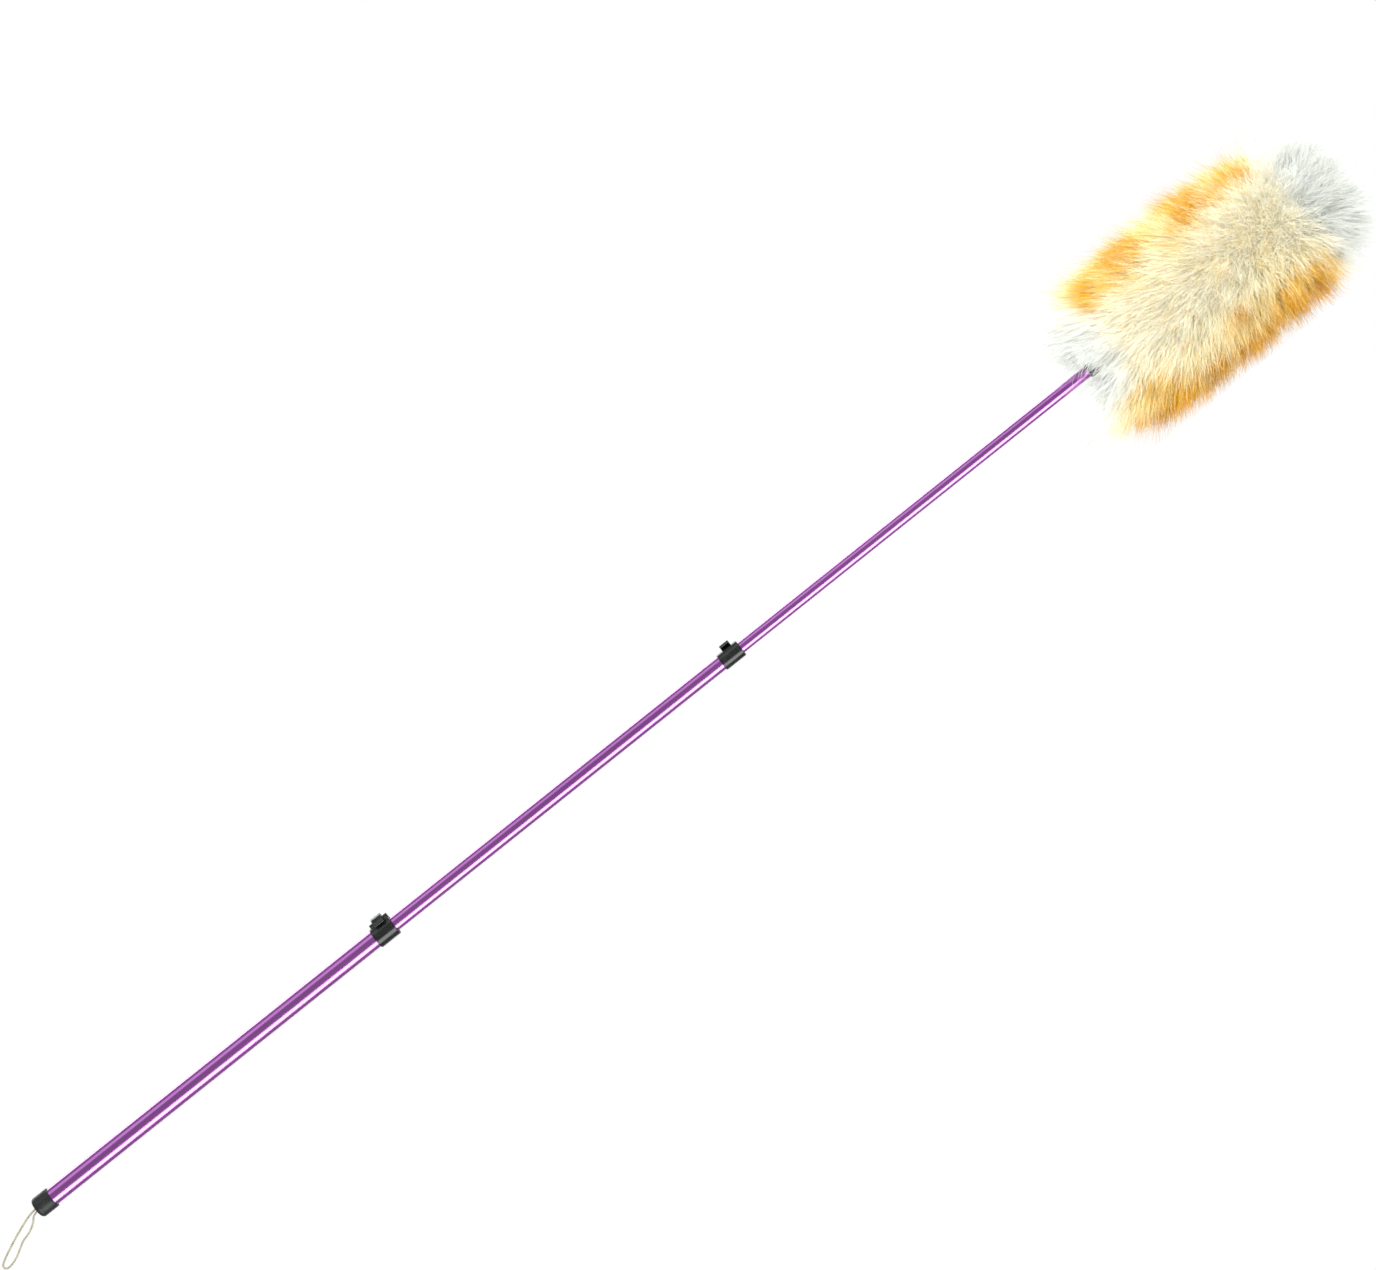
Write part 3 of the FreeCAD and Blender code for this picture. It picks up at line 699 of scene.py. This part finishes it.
def strand_tones(tufts, owner):
    """The colour step of each stretch of each hair, with painted shade on the +X side and near the
    roots. A tenth of the middle's hairs have dark tips.
    """
    count = len(owner)
    t = (np.arange(RINGS - 1) + 0.5) / (RINGS - 1)
    middle, orange = tufts["middle"][owner], tufts["orange"][owner]
    tone = chance.normal(0.13, 0.05, (count, 1)) + 0.24 * middle[:, None]
    # Painted shade: the +X side's hairs move to a darker, yellower step of cream.
    tone = tone + 0.13 * tufts["painted_shade"][owner][:, None]
    begin = chance.uniform(0.3, 0.6, (count, 1))
    # Painted shade: the middle's hairs are a darker, yellower cream near their roots, where shade
    # falls inside the wool.
    tone = tone + middle[:, None] * (1 - smooth(0.0, 0.6, t[None])) * 0.07
    tone = tone + orange[:, None] * smooth(begin, begin + 0.25, t[None]) * 0.52
    fleck = (chance.random(count) < 0.10) & (middle > 0.5)
    tone = tone + fleck[:, None] * smooth(0.62, 0.72, t[None]) * 0.6
    last = len(HAIR_COLOURS) - 1
    return np.clip(np.floor(tone * last), 0, last).astype(int)


def join_strands(name, corners, tones, materials):
    """One piece of many hairs."""
    count, rings = corners.shape[:2]
    quads, ends = tube_faces(rings, 3)
    first = (np.arange(count) * rings * 3)[:, None, None]
    all_quads = (quads[None] + first).reshape(-1, 4)
    all_ends = (ends[None] + first).reshape(-1, 3)
    quad_slots = np.repeat(tones, 3, axis=1).ravel()
    end_slots = tones[:, [0, -1]].ravel()
    piece = add_mesh(
        name,
        corners.reshape(-1, 3),
        [all_quads, all_ends],
        materials,
        np.concatenate([quad_slots, end_slots]),
    )
    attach(piece, "head_section")


def grow_hair(tufts, materials, name, pieces, count, start, stray, loose, reach, thick):
    """One kind of hair, as several pieces that each cover a sector of the head."""
    owner = chance.integers(0, TUFTS, count)
    owner = owner[np.argsort(tufts["turn"][owner])]
    loose = chance.uniform(*loose, count)
    reach = chance.uniform(*reach, (count, 1))
    line = strand_lines(tufts, owner, start, loose, reach, stray)
    taper = (1 - np.linspace(0, 1, RINGS) ** 1.8) * (1 - TIP_SHARE) + TIP_SHARE
    corners = strand_corners(line, chance.uniform(*thick, count), taper)
    tones = strand_tones(tufts, owner)
    for part, chosen in enumerate(np.array_split(np.arange(count), pieces)):
        join_strands(f"{name}_{part + 1}", corners[chosen], tones[chosen], materials)


def make_wool():
    make_fleece()
    tufts = make_tufts()
    materials = hair_materials()
    for kind in HAIRS:
        grow_hair(tufts, materials, **kind)


make_wool()

# ---------------------------------------------------------------- floor, world and lights


FLOOR_REACH, FLOOR_HEIGHT = 30.0, -0.075
POLE_MIDDLE = Vector((0, 0, 0.79))


def make_floor():
    """White where the camera sees it, and light grey for the light that it throws back."""
    mesh = bpy.data.meshes.new("floor")
    s, z = FLOOR_REACH, FLOOR_HEIGHT
    mesh.from_pydata([(-s, -s, z), (s, -s, z), (s, s, z), (-s, s, z)], [], [(0, 1, 2, 3)])
    floor = bpy.data.objects.new("floor", mesh)
    bpy.context.scene.collection.objects.link(floor)
    n = Nodes("floor")
    glow = n.add("Emission", Color=(1, 1, 1, 1), Strength=1.0)
    seen = n.add("LightPath").outputs["Is Camera Ray"]
    n.put(n.shader, "Base Color", (0.8, 0.8, 0.8, 1))
    n.put(n.shader, "Roughness", 0.9)
    both = n.add("MixShader")
    n.put(both, 0, seen)
    n.put(both, 1, n.shader.outputs[0])
    n.put(both, 2, glow.outputs[0])
    n.put(n.output, "Surface", both.outputs[0])
    mesh.materials.append(n.material)
    floor.visible_glossy = False


def make_world():
    """White behind the object, softer as fill, and dark in reflections, as in a studio."""
    world = bpy.data.worlds.new("studio")
    bpy.context.scene.world = world
    world.use_nodes = True
    tree = world.node_tree
    sky = tree.nodes["Background"]
    sky.inputs["Color"].default_value = (1, 1, 1, 1)
    path = tree.nodes.new("ShaderNodeLightPath")
    fill = tree.nodes.new("ShaderNodeMapRange")
    fill.inputs["To Min"].default_value = 0.82
    fill.inputs["To Max"].default_value = 0.34
    tree.links.new(path.outputs["Is Glossy Ray"], fill.inputs["Value"])
    shown = tree.nodes.new("ShaderNodeMath")
    shown.operation = "MAXIMUM"
    tree.links.new(fill.outputs["Result"], shown.inputs[0])
    tree.links.new(path.outputs["Is Camera Ray"], shown.inputs[1])
    tree.links.new(shown.outputs[0], sky.inputs["Strength"])


def add_light(name, around, lift, distance, size, power, mirrored):
    """A soft box that faces the pole's middle. Around is 0 at the camera's side, positive to +X.
    A mirrored one only shows in reflections, and the others only light the surfaces."""
    data = bpy.data.lights.new(name, "AREA")
    data.shape = "RECTANGLE"
    data.size, data.size_y = size
    data.energy = power
    lamp = bpy.data.objects.new(name, data)
    bpy.context.scene.collection.objects.link(lamp)
    a, e = math.radians(around), math.radians(lift)
    out = Vector((math.sin(a) * math.cos(e), -math.cos(a) * math.cos(e), math.sin(e)))
    lamp.location = POLE_MIDDLE + out * distance
    lamp.rotation_mode = "QUATERNION"
    lamp.rotation_quaternion = (-out).to_track_quat("-Z", "Y")
    lamp.visible_camera = False
    lamp.visible_glossy = mirrored
    lamp.visible_diffuse = not mirrored


LIGHTS = (  # name, degrees around and up, distance, width and height, power, mirrored
    ("key", -19, 5, 2.6, (1.8, 2.4), 138, False),
    ("fill", 105, 14, 2.6, (1.6, 2.4), 18, False),
    ("rear_left", -145, 24, 2.6, (1.6, 2.4), 44, False),
    ("rear_right", 150, 24, 2.6, (1.6, 2.4), 40, False),
    ("right_card", 51, 0, 2.2, (1.6, 4.6), 112, True),
    ("left_card", -64, 0, 2.2, (1.3, 4.6), 14, True),
    ("rear_left_card", -140, 0, 2.2, (1.0, 4.6), 45, True),
    ("rear_right_card", 150, 0, 2.2, (0.6, 4.6), 14, True),
)

make_floor()
make_world()
for light in LIGHTS:
    add_light(*light)
bpy.context.scene.view_settings.view_transform = "Standard"
